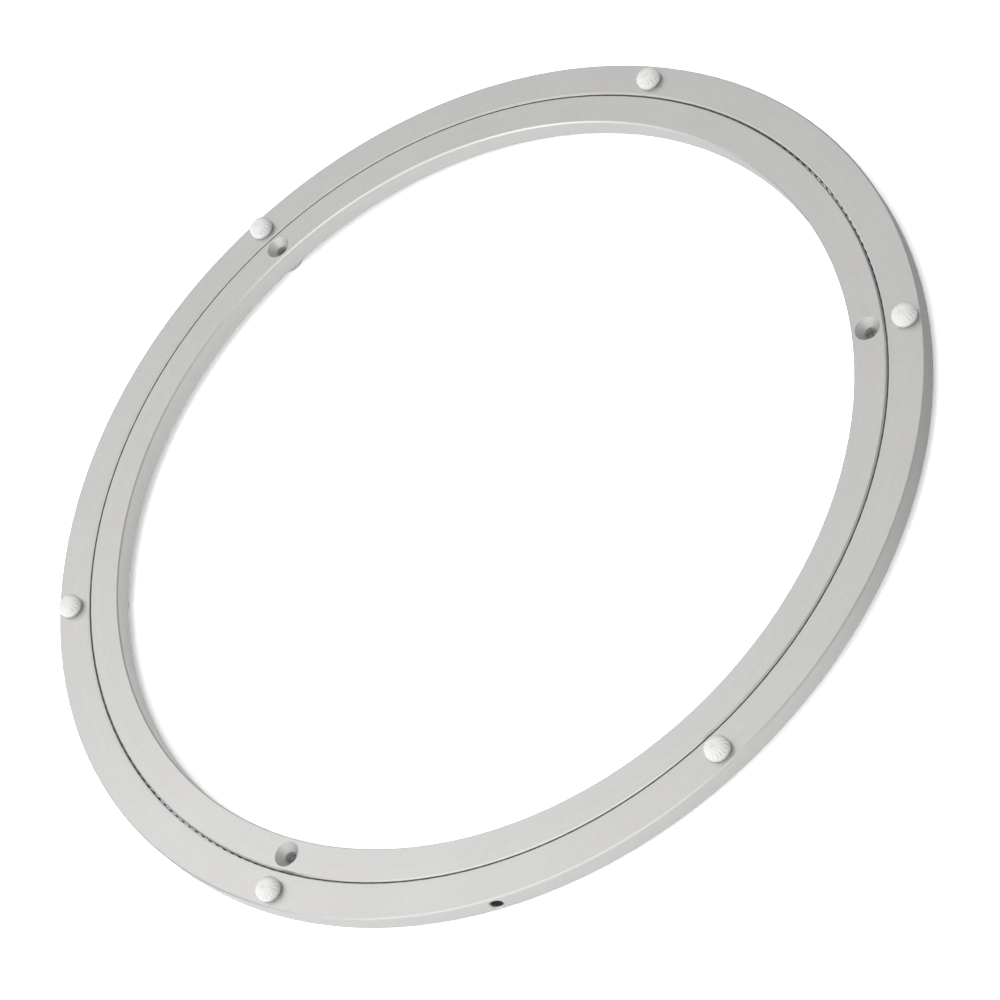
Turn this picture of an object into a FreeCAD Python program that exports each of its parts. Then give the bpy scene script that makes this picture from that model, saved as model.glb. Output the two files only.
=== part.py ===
"""Lazy susan bearing: two flat aluminium rings turning on a full row of steel balls.

The inner ring is screwed or set down on the table, the outer ring carries the turntable top. Each
ring has half of the ball race in the wall that faces the other. The balls go in through a threaded
hole in the outer ring's side, which a set screw closes. Fluted soft pads are pressed into blind
seats on top of the outer ring. Under the inner ring they stand in blind seats too, and in the lower
end of each screw hole, where they come out when the bearing is screwed down.

Frame: millimetres, +Z up, origin on the table at the centre of the rings. The axis of turning is Z.
"""
import FreeCAD, Part

import math
import os

import Sketcher
from FreeCAD import Placement, Rotation, Vector

X_AXIS = Vector(1, 0, 0)
Z_AXIS = Vector(0, 0, 1)

# Driving dimensions in millimetres and degrees, each with the note that stands beside it in the sheet
DIMENSIONS = [
    ("outer_diameter", 350.0, "outer ring, outside"),
    ("outer_ring_width", 13.2, "outer ring, across the radius"),
    ("ring_gap", 0.6, "open slot between the two rings, across the radius, with the balls in its middle"),
    ("inner_ring_width", 12.2, "inner ring, across the radius"),
    ("ring_height", 8.0, "both rings, face to face"),
    ("edge_chamfer", 0.5, "every ring edge, 45 degrees"),
    ("ball_diameter", 3.969, "5/32 inch balls"),
    ("race_clearance", 0.04, "ball to race, on the radius"),
    ("ball_play", 0.006, "least gap from ball to ball"),
    ("screw_count", 3.0, "countersunk holes in the inner ring"),
    ("screw_hole_direction", 90.0, "first screw hole, degrees round from +X"),
    ("screw_hole_diameter", 4.4, "clearance hole for a 4 mm wood screw, and every pad stem's seat"),
    ("countersink_diameter", 9.4, "at the top face"),
    ("countersink_angle", 82.0, "included angle"),
    ("top_pad_count", 6.0, "pads on the outer ring"),
    ("pad_diameter", 8.8, "pad head"),
    ("pad_rise", 4.4, "pad head above the ring's face"),
    ("pad_wall", 2.8, "upright wall of the head, below its crown"),
    ("crown_radius", 3.6, "round of the head's crown"),
    ("dimple_diameter", 2.6, "hollow in the middle of the crown"),
    ("dimple_depth", 0.35, "below the flat land round the hollow"),
    ("land_diameter", 3.4, "flat land round the hollow, the highest face of the head"),
    ("stem_length", 3.0, "pad stem below the ring's face"),
    ("stem_clearance", 0.05, "stem to seat, on the radius"),
    ("seat_depth", 3.3, "blind seat of a pad stem"),
    ("flute_count", 18.0, "flutes round a crown"),
    ("flute_fall", 0.45, "bottom of a flute below the top of the wall, at the rim"),
    ("flute_width", 1.0, "flute across, at its full height"),
    ("flute_height", 0.8, "flute from its bottom to its full width, more than its depth in the crown"),
    ("loading_hole_direction", 240.0, "degrees round from +X"),
    ("loading_hole_diameter", 4.6, "threaded hole for the balls, at the middle of its thread"),
    ("loading_hole_chamfer", 0.4, "mouth of the loading hole, 45 degrees"),
    ("thread_clearance", 0.02, "set screw to its hole, on the radius"),
    ("plug_length", 5.0, "set screw that closes the loading hole"),
    ("plug_setback", 0.3, "set screw's tip behind the bottom of the race"),
    ("plug_chamfer", 0.4, "set screw, both ends"),
    ("socket_width", 2.5, "set screw's hexagon socket, across flats"),
    ("socket_depth", 2.2, "set screw's hexagon socket"),
]

doc = FreeCAD.newDocument("lazy_susan_bearing")


def make_sheet():
    """The sheet of driving dimensions: a note, then the value under its alias."""
    new_sheet = doc.addObject("Spreadsheet::Sheet", "Sheet")
    for row, (alias, value, note) in enumerate(DIMENSIONS, start=1):
        new_sheet.set(f"A{row}", note)
        new_sheet.set(f"B{row}", str(value))
        new_sheet.setAlias(f"B{row}", alias)
    doc.recompute()
    return new_sheet


sheet = make_sheet()


def value_of(expression):
    """What an expression on the sheet comes to. A plain 0 stands for a point on an axis."""
    if expression == 0:
        return 0.0
    result = sheet.evalExpression(expression)
    return float(getattr(result, "Value", result))


# Sizes that several pieces share, as expressions on the sheet. RACE is the radius of the ball
# centres, and each ring's pads and holes are on the circle midway across it.
RACE = "(Sheet.outer_diameter / 2 - Sheet.outer_ring_width - Sheet.ring_gap / 2)"
OUTER_MIDDLE = "(Sheet.outer_diameter / 2 - Sheet.outer_ring_width / 2)"
INNER_RIM = f"({RACE} - Sheet.ring_gap / 2)"
INNER_MIDDLE = f"({INNER_RIM} - Sheet.inner_ring_width / 2)"
BORE = f"({INNER_RIM} - Sheet.inner_ring_width)"
RACE_GROOVE = "(Sheet.ball_diameter / 2 + Sheet.race_clearance)"
MIDDLE = "Sheet.ring_height / 2"
SEAT = "Sheet.screw_hole_diameter / 2"
HEAD = "Sheet.pad_diameter / 2"
LAND = "Sheet.land_diameter / 2"
HALF_TOP_STEP = "(180 / Sheet.top_pad_count)"
HALF_SCREW_STEP = "(180 / Sheet.screw_count)"


def new_body(label):
    """A body whose label is its file's name."""
    body = doc.addObject("PartDesign::Body", label)
    body.Label = label
    return body


def origin_feature(body, role):
    """One of the body's own origin planes or axes."""
    for feature in body.Origin.OriginFeatures:
        if feature.Role == role:
            return feature
    raise ValueError(f"{body.Label} has no {role}")


def new_sketch(body, name, role):
    """A sketch on one of the body's own origin planes."""
    sketch = body.newObject("Sketcher::SketchObject", name)
    sketch.AttachmentSupport = (origin_feature(body, role), [""])
    sketch.MapMode = "FlatFace"
    return sketch


def bind(sketch, kind, references, expression):
    """A dimension of the sketch whose value is an expression on the sheet."""
    index = sketch.addConstraint(Sketcher.Constraint(kind, *references, value_of(expression)))
    sketch.setExpression(f"Constraints[{index}]", expression)


def place_point(sketch, geometry, point, x, y):
    """Hold a point of the sketch at x and y, each an expression or 0."""
    for kind, expression, axis in (("DistanceX", x, -2), ("DistanceY", y, -1)):
        if expression == 0:
            sketch.addConstraint(Sketcher.Constraint("PointOnObject", geometry, point, axis))
        else:
            bind(sketch, kind, (-1, 1, geometry, point), expression)


def arc_through(start, end, radius):
    """The arc that turns counterclockwise from start to end."""
    chord = end - start
    rise = math.sqrt(radius ** 2 - (chord.Length / 2) ** 2)
    centre = (start + end) / 2 + Z_AXIS.cross(chord).normalize() * rise
    angles = [math.atan2(point.y - centre.y, point.x - centre.x) for point in (start, end)]
    return Part.ArcOfCircle(Part.Circle(centre, Z_AXIS, radius), *angles)


def draw_outline(sketch, corners, arcs=()):
    """A closed outline, counterclockwise through its corners.

    Each coordinate is an expression or 0. The side that starts at a corner listed in arcs is an arc
    of that radius, and every other side is straight.
    """
    arcs = dict(arcs)
    points = [Vector(value_of(x), value_of(y), 0) for x, y in corners]
    sides = []
    for number, (start, end) in enumerate(zip(points, points[1:] + points[:1])):
        if number in arcs:
            side = sketch.addGeometry(arc_through(start, end, value_of(arcs[number])))
        else:
            side = sketch.addGeometry(Part.LineSegment(start, end))
        sides.append(side)
    for side, following in zip(sides, sides[1:] + sides[:1]):
        sketch.addConstraint(Sketcher.Constraint("Coincident", side, 2, following, 1))
    for side, (x, y) in zip(sides, corners):
        place_point(sketch, side, 1, x, y)
    for number, radius in arcs.items():
        bind(sketch, "Radius", (sides[number],), radius)


def draw_circle(sketch, x, y, radius):
    """A circle whose centre and radius are expressions, or 0 on an axis."""
    shape = Part.Circle(Vector(value_of(x), value_of(y), 0), Z_AXIS, value_of(radius))
    index = sketch.addGeometry(shape)
    place_point(sketch, index, 3, x, y)
    bind(sketch, "Radius", (index,), radius)


def turn(body, kind, name, sketch, axis):
    """Revolve a sketch through a full turn: kind is Revolution or Groove."""
    feature = body.newObject(f"PartDesign::{kind}", name)
    feature.Profile = sketch
    feature.ReferenceAxis = axis
    feature.Angle = 360
    doc.recompute()
    return feature


def turn_about_z(body, kind, name, sketch):
    return turn(body, kind, name, sketch, (origin_feature(body, "Z_Axis"), [""]))


def chamfer_rims(body, feature, name, size):
    """Break every round edge that a turned or padded feature has."""
    rims = [f"Edge{number}" for number, edge in enumerate(feature.Shape.Edges, start=1)
            if isinstance(edge.Curve, Part.Circle)]
    chamfer = body.newObject("PartDesign::Chamfer", name)
    chamfer.Base = (feature, rims)
    chamfer.setExpression("Size", size)
    doc.recompute()


def repeat_round(body, feature, name, count):
    """Repeat a cut evenly round the body's Z axis."""
    pattern = body.newObject("PartDesign::PolarPattern", name)
    pattern.Originals = [feature]
    pattern.Axis = (origin_feature(body, "Z_Axis"), [""])
    pattern.Angle = 360
    pattern.setExpression("Occurrences", count)
    body.Tip = pattern
    doc.recompute()


def cut_pad_seats(body, radius, half_step, count, opens_upwards):
    """Blind seats for the pad stems, the first of them half a step on from the body's X axis."""
    sketch = new_sketch(body, f"{body.Label}_seat_outline", "XY_Plane")
    if opens_upwards:
        sketch.setExpression("AttachmentOffset.Base.z", "Sheet.ring_height")
    draw_circle(sketch, f"{radius} * cos({half_step})", f"{radius} * sin({half_step})", SEAT)
    seat = body.newObject("PartDesign::Pocket", f"{body.Label}_seat")
    seat.Profile = sketch
    seat.setExpression("Length", "Sheet.seat_depth")
    seat.Reversed = not opens_upwards
    doc.recompute()
    repeat_round(body, seat, f"{body.Label}_seats", count)


def make_ring(label, inside, outside):
    """A flat ring with broken edges and its half of the ball race, standing on its own XY plane."""
    body = new_body(label)
    section = new_sketch(body, f"{label}_section", "XZ_Plane")
    draw_outline(section, [(inside, 0), (outside, 0),
                           (outside, "Sheet.ring_height"), (inside, "Sheet.ring_height")])
    blank = turn_about_z(body, "Revolution", f"{label}_blank", section)
    chamfer_rims(body, blank, f"{label}_edges", "Sheet.edge_chamfer")
    race_section = new_sketch(body, f"{label}_race_section", "XZ_Plane")
    draw_circle(race_section, RACE, MIDDLE, RACE_GROOVE)
    turn_about_z(body, "Groove", f"{label}_race", race_section)
    body.setExpression("Placement.Base.z", "Sheet.pad_rise")
    return body


def turn_body(body, direction):
    """Point the body's X axis in a direction round the ring."""
    body.Placement = Placement(body.Placement.Base, Rotation(Z_AXIS, value_of(direction)))
    body.setExpression("Placement.Rotation.Angle", direction)


def make_inner_ring():
    """The ring that stays put: it has the screw holes, and pads underneath."""
    body = make_ring("inner_ring", BORE, INNER_RIM)
    sketch = new_sketch(body, "screw_hole_centre", "XY_Plane")
    sketch.setExpression("AttachmentOffset.Base.z", "Sheet.ring_height")
    draw_circle(sketch, INNER_MIDDLE, 0, SEAT)
    doc.recompute()
    hole = body.newObject("PartDesign::Hole", "screw_hole")
    hole.Profile = sketch
    hole.DepthType = "ThroughAll"
    hole.setExpression("Diameter", "Sheet.screw_hole_diameter")
    hole.HoleCutType = "Countersink"
    hole.HoleCutCustomValues = True
    hole.setExpression("HoleCutDiameter", "Sheet.countersink_diameter")
    hole.setExpression("HoleCutCountersinkAngle", "Sheet.countersink_angle")
    doc.recompute()
    repeat_round(body, hole, "screw_holes", "Sheet.screw_count")
    cut_pad_seats(body, INNER_MIDDLE, HALF_SCREW_STEP, "Sheet.screw_count", opens_upwards=False)
    turn_body(body, "Sheet.screw_hole_direction")
    return body


def make_outer_ring():
    """The ring that turns: it has pads on top and the hole that the balls go in by."""
    body = make_ring("outer_ring", f"{RACE} + Sheet.ring_gap / 2", "Sheet.outer_diameter / 2")
    cut_pad_seats(body, OUTER_MIDDLE, HALF_TOP_STEP, "Sheet.top_pad_count", opens_upwards=True)
    sketch = new_sketch(body, "loading_hole_section", "XZ_Plane")
    sketch.setExpression("AttachmentOffset.Base.y", MIDDLE)
    wall = "Sheet.outer_diameter / 2"
    chamfer = "Sheet.loading_hole_chamfer"
    bore = "Sheet.loading_hole_diameter / 2"
    draw_outline(sketch, [(RACE, 0), (f"{wall} + {chamfer}", 0),
                          (f"{wall} + {chamfer}", f"{bore} + 2 * {chamfer}"),
                          (f"{wall} - {chamfer}", bore), (RACE, bore)])
    turn(body, "Groove", "loading_hole", sketch, (sketch, ["H_Axis"]))
    turn_body(body, "Sheet.loading_hole_direction")
    return body


def make_balls():
    """The full row of balls, as many as the race holds, evenly spaced and clear of each other."""
    race_radius = value_of(RACE)
    ball_radius = value_of("Sheet.ball_diameter / 2")
    room = value_of("Sheet.ball_diameter + Sheet.ball_play")
    count = int(math.pi / math.asin(room / 2 / race_radius))
    height = value_of(f"Sheet.pad_rise + {MIDDLE}")
    balls = []
    for number in range(count):
        angle = 2 * math.pi * number / count
        centre = Vector(race_radius * math.cos(angle), race_radius * math.sin(angle), height)
        balls.append(Part.makeSphere(ball_radius, centre))
    row = doc.addObject("Part::Feature", "balls")
    row.Label = "balls"
    row.Shape = Part.makeCompound(balls)
    return row


def make_loading_plug():
    """The set screw that closes the loading hole, its axis on the hole's."""
    body = new_body("loading_plug")
    section = new_sketch(body, "plug_section", "XY_Plane")
    draw_circle(section, 0, 0, "Sheet.loading_hole_diameter / 2 - Sheet.thread_clearance")
    shank = body.newObject("PartDesign::Pad", "plug_shank")
    shank.Profile = section
    shank.setExpression("Length", "Sheet.plug_length")
    doc.recompute()
    chamfer_rims(body, shank, "plug_ends", "Sheet.plug_chamfer")
    outline = new_sketch(body, "socket_outline", "XY_Plane")
    outline.setExpression("AttachmentOffset.Base.z", "Sheet.plug_length")
    corner = "Sheet.socket_width / sqrt(3)"
    draw_outline(outline, [(f"{corner} * cos({angle})", f"{corner} * sin({angle})" if angle % 180 else 0)
                           for angle in range(0, 360, 60)])
    socket = body.newObject("PartDesign::Pocket", "plug_socket")
    socket.Profile = outline
    socket.setExpression("Length", "Sheet.socket_depth")
    body.Tip = socket
    direction = "Sheet.loading_hole_direction"
    outward = Vector(value_of(f"cos({direction})"), value_of(f"sin({direction})"), 0)
    body.Placement = Placement(Vector(), Rotation(Z_AXIS, outward))
    tip = f"({RACE} + {RACE_GROOVE} + Sheet.plug_setback)"
    body.setExpression("Placement.Base.x", f"{tip} * cos({direction})")
    body.setExpression("Placement.Base.y", f"{tip} * sin({direction})")
    body.setExpression("Placement.Base.z", f"Sheet.pad_rise + {MIDDLE}")
    return body


def make_pad_moulding(label):
    """The soft pad at its own origin, which every pad repeats.

    It has a stem for its seat and a domed head, hollow in the middle and fluted round it.
    """
    body = new_body(label)
    section = new_sketch(body, f"{label}_section", "XZ_Plane")
    stem = f"({SEAT} - Sheet.stem_clearance)"
    draw_outline(section, [(0, "-Sheet.stem_length"), (stem, "-Sheet.stem_length"), (stem, 0), (HEAD, 0),
                           (HEAD, "Sheet.pad_wall"), (LAND, "Sheet.pad_rise"),
                           ("Sheet.dimple_diameter / 2", "Sheet.pad_rise"),
                           (0, "Sheet.pad_rise - Sheet.dimple_depth")],
                 arcs=[(4, "Sheet.crown_radius")])
    turn_about_z(body, "Revolution", f"{label}_moulding", section)

    # A flute's bottom runs straight down from the land's edge to below the wall's top at the rim
    drop = "(Sheet.pad_rise - Sheet.pad_wall + Sheet.flute_fall)"
    slope = f"atan({drop} / ({HEAD} - {LAND}))"
    flute_section = new_sketch(body, f"{label}_flute_section", "YZ_Plane")
    flute_section.AttachmentOffset = Placement(Vector(), Rotation(X_AXIS, value_of(slope)))
    flute_section.setExpression("AttachmentOffset.Rotation.Angle", slope)
    flute_section.setExpression("AttachmentOffset.Base.y", "Sheet.pad_rise")
    flute_section.setExpression("AttachmentOffset.Base.z", LAND)
    draw_outline(flute_section, [(0, 0), ("Sheet.flute_width / 2", "Sheet.flute_height"),
                                 ("-Sheet.flute_width / 2", "Sheet.flute_height")])
    flute = body.newObject("PartDesign::Pocket", f"{label}_flute")
    flute.Profile = flute_section
    flute.setExpression("Length", "Sheet.pad_diameter")
    flute.Reversed = True
    doc.recompute()
    repeat_round(body, flute, f"{label}_flutes", "Sheet.flute_count")
    return body


def repeat_moulding(moulding, label):
    """A body of its own that repeats the moulding's shape."""
    body = new_body(label)
    clone = doc.addObject("PartDesign::FeatureBase", f"{label}_moulding")
    clone.BaseFeature = moulding
    body.Group = [clone]
    body.Tip = clone
    return body


def set_pads(moulding, name, radius, directions, face, turned_over):
    """Press a pad in at each direction round one ring, its head against the face at that height."""
    pads = []
    for number, direction in enumerate(directions, start=1):
        body = repeat_moulding(moulding, f"{name}_{number}")
        over = Rotation(X_AXIS, 180 if turned_over else 0)
        body.Placement = Placement(Vector(), Rotation(Z_AXIS, value_of(direction)) * over)
        body.setExpression("Placement.Base.x", f"{radius} * cos({direction})")
        body.setExpression("Placement.Base.y", f"{radius} * sin({direction})")
        body.setExpression("Placement.Base.z", face)
        pads.append(body)
    return pads


def check_document():
    """Stop if any object failed to compute."""
    doc.recompute()
    for item in doc.Objects:
        if "Invalid" in item.State or "Error" in item.State:
            raise RuntimeError(f"{item.Label} failed: {item.State}")


def export(pieces):
    """Check each piece's shape and write it as parts/LABEL.step."""
    for piece in pieces:
        if piece.Shape.isNull() or not piece.Shape.isValid() or piece.Shape.Volume <= 0:
            raise RuntimeError(f"{piece.Label} has a bad shape")
    os.makedirs("parts", exist_ok=True)
    for piece in pieces:
        piece.Shape.exportStep(f"parts/{piece.Label}.step")
        print(f"{piece.Label}: {len(piece.Shape.Solids)} solid, {piece.Shape.Volume:.2f} mm3")


pieces = [make_inner_ring(), make_outer_ring(), make_balls(), make_loading_plug()]
moulding = make_pad_moulding("pad_moulding")

# The top pads stand evenly spaced, the loading hole midway between two of them
top_directions = [f"(Sheet.loading_hole_direction + {HALF_TOP_STEP} * {2 * number + 1})"
                  for number in range(int(value_of("Sheet.top_pad_count")))]
pieces += set_pads(moulding, "top_pad", OUTER_MIDDLE, top_directions,
                   "Sheet.pad_rise + Sheet.ring_height", turned_over=False)

# The base pads stand in the screw holes and in the blind seats midway between them
base_directions = [f"(Sheet.screw_hole_direction + {HALF_SCREW_STEP} * {number})"
                   for number in range(2 * int(value_of("Sheet.screw_count")))]
pieces += set_pads(moulding, "base_pad", INNER_MIDDLE, base_directions,
                   "Sheet.pad_rise", turned_over=True)
check_document()
export(pieces)
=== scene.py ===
import math

import bmesh
import bpy
from mathutils import Matrix, Quaternion, Vector


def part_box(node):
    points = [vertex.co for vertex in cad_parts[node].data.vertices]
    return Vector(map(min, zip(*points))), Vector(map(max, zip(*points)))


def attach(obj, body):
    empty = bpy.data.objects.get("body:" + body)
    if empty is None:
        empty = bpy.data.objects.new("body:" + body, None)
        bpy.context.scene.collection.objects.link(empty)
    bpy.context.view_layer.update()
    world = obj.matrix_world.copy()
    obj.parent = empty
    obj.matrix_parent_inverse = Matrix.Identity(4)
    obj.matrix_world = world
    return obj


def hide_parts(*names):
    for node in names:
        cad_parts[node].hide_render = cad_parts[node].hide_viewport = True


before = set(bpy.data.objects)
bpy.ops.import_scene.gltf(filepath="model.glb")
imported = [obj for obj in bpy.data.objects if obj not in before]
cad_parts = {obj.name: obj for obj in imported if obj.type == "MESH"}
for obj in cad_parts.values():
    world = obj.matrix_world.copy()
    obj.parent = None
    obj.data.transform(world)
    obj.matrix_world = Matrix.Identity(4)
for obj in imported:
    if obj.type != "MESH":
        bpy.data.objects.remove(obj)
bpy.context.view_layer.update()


# Rings: two flat aluminium rings turned on a lathe, blasted to an even satin and clear anodised.
# Their edges were broken with a form tool after blasting, so the narrow bevels shine. The inner ring
# is screwed or set down on the table, and the outer ring turns on the balls and carries the top.

RING_GAP = 0.0006
EDGE_BEVEL = 0.0005
BEVEL_UPRIGHT = 0.707  # how far up the normal of a 45 degree bevel points
HOLE_CIRCLE = 0.1551
HOLE_REACH = 0.005  # a little more than a countersink's radius
BLAST_DEPTH = 0.000012
SATIN_ROUGHNESS = 0.34
DULL_SATIN = (0.452, 0.448, 0.440, 1)
BRIGHT_SATIN = (0.598, 0.592, 0.580, 1)
# A lighter copy of the satin: painted light on the upright walls
WALL_SATIN_PAINTED_LIGHT = (0.65, 0.645, 0.635, 1)
SCRATCH_SHINE = (0.62, 0.62, 0.62, 1)


class Wire:
    """An output of a shader node. Sums and products with it add the Math nodes that they need."""

    def __init__(self, tree, socket=None):
        self.tree = tree
        self.socket = socket

    def node(self, kind, settings, inputs, output=0):
        """Add a node: first its settings, then the value or wire of each input."""
        node = self.tree.nodes.new("ShaderNode" + kind)
        for name, value in settings.items():
            setattr(node, name, value)
        for name, value in inputs.items():
            if isinstance(value, Wire):
                self.tree.links.new(value.socket, node.inputs[name])
            else:
                node.inputs[name].default_value = value
        return Wire(self.tree, node.outputs[output])

    def math(self, operation, first, second=0.0, third=0.0):
        return self.node("Math", {"operation": operation}, {0: first, 1: second, 2: third})

    def __add__(self, other):
        return self.math("ADD", self, other)

    def __sub__(self, other):
        return self.math("SUBTRACT", self, other)

    def __mul__(self, other):
        return self.math("MULTIPLY", self, other)

    def __pow__(self, other):
        return self.math("POWER", self, other)

    __radd__ = __add__
    __rmul__ = __mul__

    def __rsub__(self, other):
        return self.math("SUBTRACT", other, self)

    def near(self, value, within):
        """1 where this wire is within that reach of a value, 0 elsewhere."""
        return self.math("COMPARE", self, value, within)

    def below(self, value):
        return self.math("LESS_THAN", self, value)

    def clipped(self, low, high):
        """0 up to low, 1 from high on, and a straight slope between them."""
        return self.node("MapRange", {"clamp": True}, {"Value": self, "From Min": low, "From Max": high})

    def blend(self, first, second):
        """The colour that goes from first to second as this wire goes from 0 to 1."""
        return self.node("Mix", {"data_type": "RGBA"}, {0: self, 6: first, 7: second}, output=2)

    def axis(self, letter):
        """One part of this vector: X, Y or Z."""
        return self.node("SeparateXYZ", {}, {"Vector": self}, output=letter)

    def from_axis(self):
        """How far this place is from the upright axis."""
        x, y = self.axis("X"), self.axis("Y")
        return self.math("SQRT", x * x + y * y)

    def along(self, direction):
        """How far this vector goes in a direction."""
        return self.node("VectorMath", {"operation": "DOT_PRODUCT"}, {0: self, 1: direction}, output="Value")

    def toward(self, other, share):
        """This direction bent toward another, by a share from 0 to 1."""
        return self.node("Mix", {"data_type": "VECTOR"}, {0: share, 4: self, 5: other}, output=1)

    def noise(self, scale, detail=2.0, roughness=0.5):
        """Noise over this vector, about 0.5."""
        return self.node("TexNoise", {}, {"Vector": self, "Scale": scale, "Detail": detail,
                                          "Roughness": roughness})


def new_material(name, **constants):
    """A material, its shader with those constants on its own sockets, and a start for its wires."""
    material = bpy.data.materials.new(name)
    material.use_nodes = True
    shader = material.node_tree.nodes["Principled BSDF"]
    for socket, value in constants.items():
        shader.inputs[socket.replace("_", " ")].default_value = value
    return material, shader, Wire(material.node_tree)


def feed(shader, **wires):
    """Join wires to the shader's sockets."""
    for socket, wire in wires.items():
        wire.tree.links.new(wire.socket, shader.inputs[socket.replace("_", " ")])


def bumps(height, distance, base=None):
    """The normal of a surface with that height, 0 to 1, times a distance in metres."""
    bump = {"Height": height, "Distance": distance}
    if base is not None:
        bump["Normal"] = base
    return height.node("Bump", {}, bump)


def anodised_aluminium():
    material, shader, start = new_material("satin_anodised_aluminium", Metallic=1.0)
    place = start.node("TexCoord", {}, {}, output="Object")
    upright = start.math("ABSOLUTE", start.node("TexCoord", {}, {}, output="Normal").axis("Z"))
    radius = place.from_axis()

    # The lathe's marks run round the ring: they change only across it and up its walls
    across = start.node("CombineXYZ", {}, {"X": radius, "Y": place.axis("Z")})
    turned = across.noise(5200, detail=3)
    bands = across.noise(700, detail=1)
    blasted = place.noise(3600, detail=3, roughness=0.6)
    mottle = place.noise(420, detail=3, roughness=0.6)
    cloud = place.noise(28, detail=2)

    # Hairline scratches from handling, stretched one way, short and sparse
    drawn = start.node("Mapping", {}, {"Vector": place, "Rotation": (0, 0, 0.9), "Scale": (60, 1900, 60)})
    patches = place.noise(60, detail=1).clipped(0.60, 0.70)
    scratches = drawn.noise(1.0, detail=2).clipped(0.66, 0.74) * patches * 0.4

    # The shining bevels are those of the rings' own edges, and the countersinks stay satin. The bevel
    # beyond the slot is so fine that it shows as part of the ring's face
    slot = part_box("inner_ring")[1].x
    edge = upright.near(BEVEL_UPRIGHT, 0.02)
    beyond = edge * radius.near(slot + RING_GAP + EDGE_BEVEL / 2, EDGE_BEVEL * 0.6)
    bevel = edge - beyond
    face_up = start.node("NewGeometry", {}, {}, output="Normal").toward((0, 0, 1), beyond * 0.8)
    holes = radius.near(HOLE_CIRCLE, HOLE_REACH) * upright.below(0.9)
    upright_wall = upright.below(0.3)

    tone = mottle * 0.5 + cloud * 0.3 + bands * 0.2
    colour = scratches.blend(tone.blend(DULL_SATIN, BRIGHT_SATIN), SCRATCH_SHINE)
    satin = SATIN_ROUGHNESS + 0.10 * mottle - 0.08 * scratches
    height = blasted * 0.7 + turned * 0.3 - scratches * 0.8
    # Painted light: the upright walls get a lighter copy of the satin colour, so that they show brighter
    feed(shader, Base_Color=upright_wall.blend(colour, WALL_SATIN_PAINTED_LIGHT),
         Roughness=satin - 0.06 * bevel + 0.20 * upright_wall + 0.16 * holes,
         Normal=bumps(height, BLAST_DEPTH, face_up))
    return material


def dress(node, material):
    """Give a CAD node its finish."""
    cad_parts[node].material_slots[0].material = material


ring_finish = anodised_aluminium()
dress("inner_ring", ring_finish)
dress("outer_ring", ring_finish)


# Balls: a full row of polished chrome steel balls between the rings, with a thin film of grease.
# They show only as glints down in the slot. The CAD node is the real row, so it stays.

FILMED_STEEL = (0.50, 0.50, 0.50, 1)
CLEAN_STEEL = (0.66, 0.66, 0.67, 1)


def polished_steel():
    material, shader, start = new_material("polished_ball_steel", Metallic=1.0)
    film = start.node("TexCoord", {}, {}, output="Object").noise(260, detail=2)
    feed(shader, Base_Color=film.blend(FILMED_STEEL, CLEAN_STEEL), Roughness=0.08 + 0.16 * film)
    return material


dress("balls", polished_steel())


# Loading plug: a black-oxide socket set screw, driven in from the side until it is just clear of the
# balls. It lies deep in its hole, so its hexagon socket and end bevel are all that shows.

OXIDE_BLACK = (0.035, 0.036, 0.040, 1)
RUBBED_BLACK = (0.13, 0.13, 0.13, 1)


def black_oxide():
    material, shader, start = new_material("black_oxide_steel", Metallic=1.0)
    place = start.node("TexCoord", {}, {}, output="Object")
    grain = place.noise(2400, detail=3)
    rubbed = place.noise(900, detail=2).clipped(0.52, 0.70)
    feed(shader, Base_Color=rubbed.blend(OXIDE_BLACK, RUBBED_BLACK), Roughness=0.38 + 0.2 * grain,
         Normal=bumps(grain, 0.000015))
    return material


dress("loading_plug", black_oxide())


# Pads: soft white silicone mouldings, a stem pressed into the ring and a domed head with fine flutes
# that grips the turntable top. Six stand on the outer ring and six more, turned over, under the inner.

PAD_HEAD = 0.0044  # radius at the head's foot
PAD_RISE = 0.0044  # height over the ring
PAD_WALL = 0.0028  # height of the upright wall
PAD_CROWN = 0.0036  # radius of the arc between wall and flat
PAD_LAND = 0.0017  # radius of the flat on top
PAD_HOLLOW = 0.0013  # radius of the hollow in the flat
PAD_HOLLOW_DEPTH = 0.00035
PAD_STEM = 0.00215
PAD_STEM_LENGTH = 0.0032
PAD_UNEVEN = 0.00004
FLUTES = 18
FLUTE_DEPTH = 0.0005
STEPS_PER_FLUTE = 10
HOLLOW_STEPS = 6
CROWN_STEPS = 19

# Shares down the soft wall, each with the share of the flute's depth there and how far it bulges
WALL_BULGE = ((0.04, 1.0, 0.000), (0.10, 0.8, 0.006), (0.17, 0.5, 0.014), (0.25, 0.2, 0.020),
              (0.35, 0.0, 0.026), (0.6, 0.0, 0.030), (0.8, 0.0, 0.024), (0.96, 0.0, 0.010))

# How far a soft head sits off its stem, in metres
HEADS_OFF_CENTRE = {"top_pad_1": (0.0015, -0.0003), "top_pad_2": (0.0004, -0.0012),
                    "top_pad_5": (-0.0012, -0.0006), "top_pad_6": (-0.0004, -0.0006)}

DULL_SILICONE = (0.80, 0.795, 0.778, 1)
CLEAR_SILICONE = (0.85, 0.845, 0.83, 1)
# Painted shade for the flutes of the crown
FLUTE_PAINTED_SHADE = (0.56, 0.555, 0.54, 1)


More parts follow.
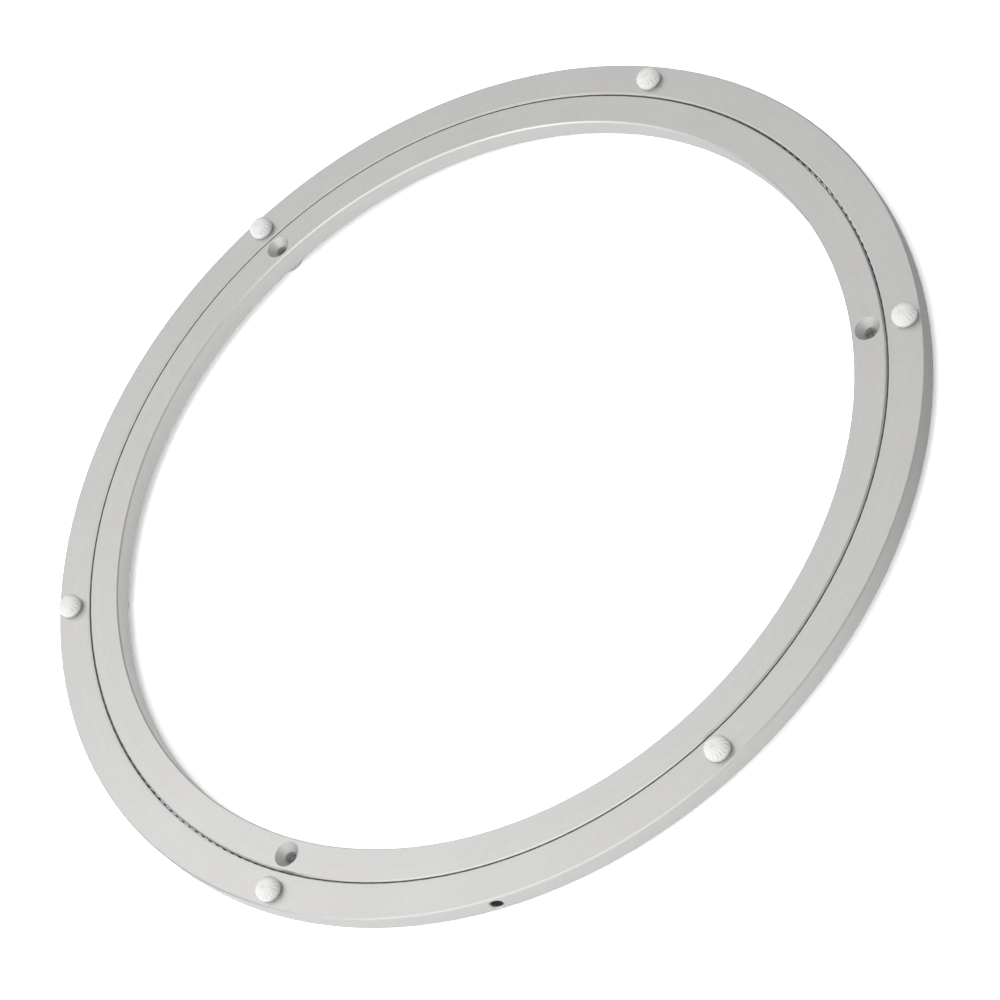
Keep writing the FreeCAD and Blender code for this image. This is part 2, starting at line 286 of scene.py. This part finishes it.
def pad_profile():
    """Points (radius, height, share of the flute's depth) from the middle of the crown to the stem."""
    points = []
    for step in range(1, HOLLOW_STEPS + 1):
        share = step / HOLLOW_STEPS
        points.append((PAD_HOLLOW * share, PAD_RISE - PAD_HOLLOW_DEPTH * (1 - share ** 2) ** 2, 0.0))
    points.append((PAD_LAND, PAD_RISE, 0.0))

    # The crown is an arc from the flat's rim to the wall, so its centre lies inside their chord
    chord = Vector((PAD_HEAD - PAD_LAND, PAD_WALL - PAD_RISE))
    middle = Vector((PAD_HEAD + PAD_LAND, PAD_WALL + PAD_RISE)) / 2
    reach = math.sqrt(PAD_CROWN ** 2 - (chord.length / 2) ** 2)
    centre = middle - Vector((-chord.y, chord.x)).normalized() * reach
    first = math.atan2(PAD_RISE - centre.y, PAD_LAND - centre.x)
    last = math.atan2(PAD_WALL - centre.y, PAD_HEAD - centre.x)
    for step in range(1, CROWN_STEPS):
        share = step / CROWN_STEPS
        angle = first + (last - first) * share
        points.append((centre.x + PAD_CROWN * math.cos(angle), centre.y + PAD_CROWN * math.sin(angle),
                       min(1.0, 1.15 * share)))

    for down, depth, bulge in WALL_BULGE:
        points.append((PAD_HEAD * (1 + bulge), PAD_WALL * (1 - down), depth))
    points += [(PAD_HEAD * 0.98, 0.0, 0.0), (PAD_STEM, 0.0, 0.0), (PAD_STEM, -PAD_STEM_LENGTH * 0.9, 0.0),
               (PAD_STEM * 0.9, -PAD_STEM_LENGTH, 0.0)]
    return points


def pad_mesh(name, lean, shift):
    """The moulding at its own origin, its crown a little uneven and its head set off from the stem."""
    shape = bmesh.new()
    around = FLUTES * STEPS_PER_FLUTE
    top = shape.verts.new((shift.x, shift.y, PAD_RISE - PAD_HOLLOW_DEPTH))
    loops = []
    for radius, height, share in pad_profile():
        off = shift if radius > PAD_STEM or height > 0 else Vector((0, 0))
        slope = (radius / PAD_HEAD) ** 4
        loop = []
        for step in range(around):
            angle = 2 * math.pi * step / around
            depth = FLUTE_DEPTH * share * abs(math.cos(FLUTES * angle / 2)) ** 4
            uneven = PAD_UNEVEN * (math.sin(2 * angle + lean) - 1) * max(0.0, height / PAD_RISE)
            reach = radius - depth * slope
            rise = height - depth * (1 - 0.6 * slope) + uneven
            loop.append(shape.verts.new((reach * math.cos(angle) + off.x,
                                         reach * math.sin(angle) + off.y, rise)))
        loops.append(loop)
    for step in range(around):
        shape.faces.new((top, loops[0][step], loops[0][(step + 1) % around]))
    for upper, lower in zip(loops, loops[1:]):
        for step in range(around):
            following = (step + 1) % around
            shape.faces.new((upper[step], lower[step], lower[following], upper[following]))
    shape.faces.new(loops[-1])
    bmesh.ops.recalc_face_normals(shape, faces=shape.faces)
    mesh = bpy.data.meshes.new(name)
    shape.to_mesh(mesh)
    shape.free()
    mesh.polygons.foreach_set("use_smooth", [True] * len(mesh.polygons))
    return mesh


def white_silicone():
    material, shader, start = new_material("white_silicone", IOR=1.42, Subsurface_Weight=1.0,
                                           Subsurface_Scale=0.0035, Subsurface_Radius=(1.0, 0.97, 0.92))
    place = start.node("TexCoord", {}, {}, output="Object")
    cloud = place.noise(700, detail=2)
    skin = place.noise(5200, detail=3)

    # Painted shade darkens the flutes of the crown, and nowhere else
    turn = start.math("ARCTAN2", place.axis("Y"), place.axis("X"))
    flutes = start.math("ABSOLUTE", start.math("COSINE", turn * (FLUTES / 2))) ** 6
    crown = place.from_axis().clipped(0.0012, 0.0030) * place.axis("Z").clipped(0.0020, 0.0030)
    white = cloud.blend(DULL_SILICONE, CLEAR_SILICONE)

    # Silicone scatters light inside, so its shading is softer than its form
    outward = start.node("VectorTransform", {"vector_type": "NORMAL", "convert_from": "OBJECT",
                                             "convert_to": "WORLD"}, {"Vector": (0, 0, 1)})
    soft = start.node("NewGeometry", {}, {}, output="Normal").toward(outward, 0.5)
    feed(shader, Base_Color=(flutes * crown * 0.3).blend(white, FLUTE_PAINTED_SHADE),
         Roughness=0.34 + 0.16 * cloud, Normal=bumps(skin, 0.00002, soft))
    return material


silicone = white_silicone()


def set_pad(node, body, face, turned_over):
    """Stand a moulding where the CAD pad is, its head against that face of the ring."""
    low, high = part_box(node)
    direction = math.atan2(low.y + high.y, low.x + high.x)
    turn = 0.35 + 1.7 * direction  # each moulding went in at its own turn
    shift = Vector(HEADS_OFF_CENTRE.get(node, (0, 0)))
    shift.rotate(Matrix.Rotation(-turn, 2))
    pad = bpy.data.objects.new(node + "_moulding", pad_mesh(node + "_moulding", 3 * direction, shift))
    pad.data.materials.append(silicone)
    bpy.context.scene.collection.objects.link(pad)
    place = Vector(((low.x + high.x) / 2, (low.y + high.y) / 2, face))
    over = Matrix.Rotation(math.pi if turned_over else 0, 4, "X")
    pad.matrix_world = Matrix.Translation(place) @ over @ Matrix.Rotation(turn, 4, "Z")
    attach(pad, body)
    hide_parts(node)


for number in range(1, 7):
    set_pad(f"top_pad_{number}", "turntable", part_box("outer_ring")[1].z, turned_over=False)
    set_pad(f"base_pad_{number}", "base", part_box("inner_ring")[0].z, turned_over=True)


# Studio: a white table under large soft lights from the left, with a soft sky of even light round it.
# The table shows white to the camera and keeps the bearing's shadow. What the metal mirrors of the
# table is darker to the right, away from the lights, as the photograph's walls show.

TABLE_SIZE = 12.0
TABLE_WHITE = 0.90
CAMERA_WHITE = 1.5  # added for the camera alone, so that the lit table shows white
SKY_EVEN = 0.44
SKY_WINDOW = 0.24  # how much brighter the sky is toward the window on the left
SKY_MIRRORED = 0.32  # added in what the metal mirrors, on the side away from the lights
WINDOW = (-0.85, -0.30, 0.25)


def white_table():
    material, shader, start = new_material("white_table", Roughness=0.7, Emission_Strength=1.0)
    seen = start.node("LightPath", {}, {}, output="Is Camera Ray")
    mirrored = start.node("LightPath", {}, {}, output="Is Glossy Ray")
    # Painted shade: in what the metal mirrors, the table's colour is darker to the right, away from the
    # lights
    to_right = start.node("TexCoord", {}, {}, output="Object").along((0.9, -0.3, 0))
    painted_shade = 0.65 * mirrored * to_right.clipped(0.10, 0.20)
    feed(shader, Base_Color=TABLE_WHITE + CAMERA_WHITE * seen - painted_shade, Emission_Color=0.10 * mirrored)
    return material


half = TABLE_SIZE / 2
table_mesh = bpy.data.meshes.new("table")
table_mesh.from_pydata([(-half, -half, 0), (half, -half, 0), (half, half, 0), (-half, half, 0)], [],
                       [(0, 1, 2, 3)])
table_mesh.materials.append(white_table())
table = bpy.data.objects.new("table", table_mesh)
bpy.context.scene.collection.objects.link(table)


def soft_light(name, direction, height, distance, size, power):
    """A soft box: direction and height in degrees as seen from the ring, aimed at its middle."""
    lamp = bpy.data.lights.new(name, "AREA")
    lamp.shape = "RECTANGLE"
    lamp.size, lamp.size_y = size
    lamp.energy = power
    light = bpy.data.objects.new(name, lamp)
    bpy.context.scene.collection.objects.link(light)
    around, up = math.radians(direction), math.radians(height)
    light.location = distance * Vector((math.cos(up) * math.cos(around), math.cos(up) * math.sin(around),
                                        math.sin(up)))
    light.rotation_euler = (-light.location).to_track_quat("-Z", "Y").to_euler()


soft_light("key", direction=154, height=42, distance=1.8, size=(2.2, 2.0), power=11.5)
soft_light("near", direction=224, height=34, distance=1.8, size=(2.8, 2.2), power=18)
soft_light("overhead", direction=262, height=70, distance=2.2, size=(1.2, 1.2), power=5)
soft_light("back", direction=88, height=52, distance=2.2, size=(1.3, 1.3), power=2.4)

world = bpy.data.worlds.new("studio")
world.use_nodes = True
bpy.context.scene.world = world
backdrop = world.node_tree.nodes["Background"]
backdrop.inputs["Color"].default_value = (1, 1, 1, 1)
sky = Wire(world.node_tree)
shown = sky.node("LightPath", {}, {}, output="Is Camera Ray")
mirrored = sky.node("LightPath", {}, {}, output="Is Glossy Ray")
heading = sky.node("TexCoord", {}, {}, output="Generated")
window_side = heading.along(WINDOW)
above = heading.axis("Z").clipped(-0.2, 0.15)
away = 1 - window_side.clipped(0.15, 0.50)
level = SKY_EVEN + SKY_WINDOW * window_side + SKY_MIRRORED * mirrored * above * away
level = level * (1 - shown) + shown
world.node_tree.links.new(level.socket, backdrop.inputs["Strength"])


# Camera: a long lens from in front and above, leaning over to its right as in the photograph. Its
# place, lean and lens were fitted to the photograph's rings, pads and holes.

ring_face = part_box("outer_ring")[1].z
EYE = Vector((0.0317, -0.8501, ring_face + 0.9029))
AIM = Vector((0.0009, -0.0221, ring_face))
LEAN = math.radians(-43.78)
LENS_LENGTH = 124.75  # millimetres, on a sensor 36 wide

lens = bpy.data.cameras.new("camera")
lens.lens = LENS_LENGTH
lens.sensor_width = 36.0
lens.clip_start = 0.05
lens.clip_end = 50.0
camera = bpy.data.objects.new("camera", lens)
bpy.context.scene.collection.objects.link(camera)
camera.location = EYE
camera.rotation_mode = "QUATERNION"
camera.rotation_quaternion = (AIM - EYE).to_track_quat("-Z", "Y") @ Quaternion((0, 0, 1), LEAN)
bpy.context.scene.camera = camera
bpy.context.scene.view_settings.view_transform = "Standard"
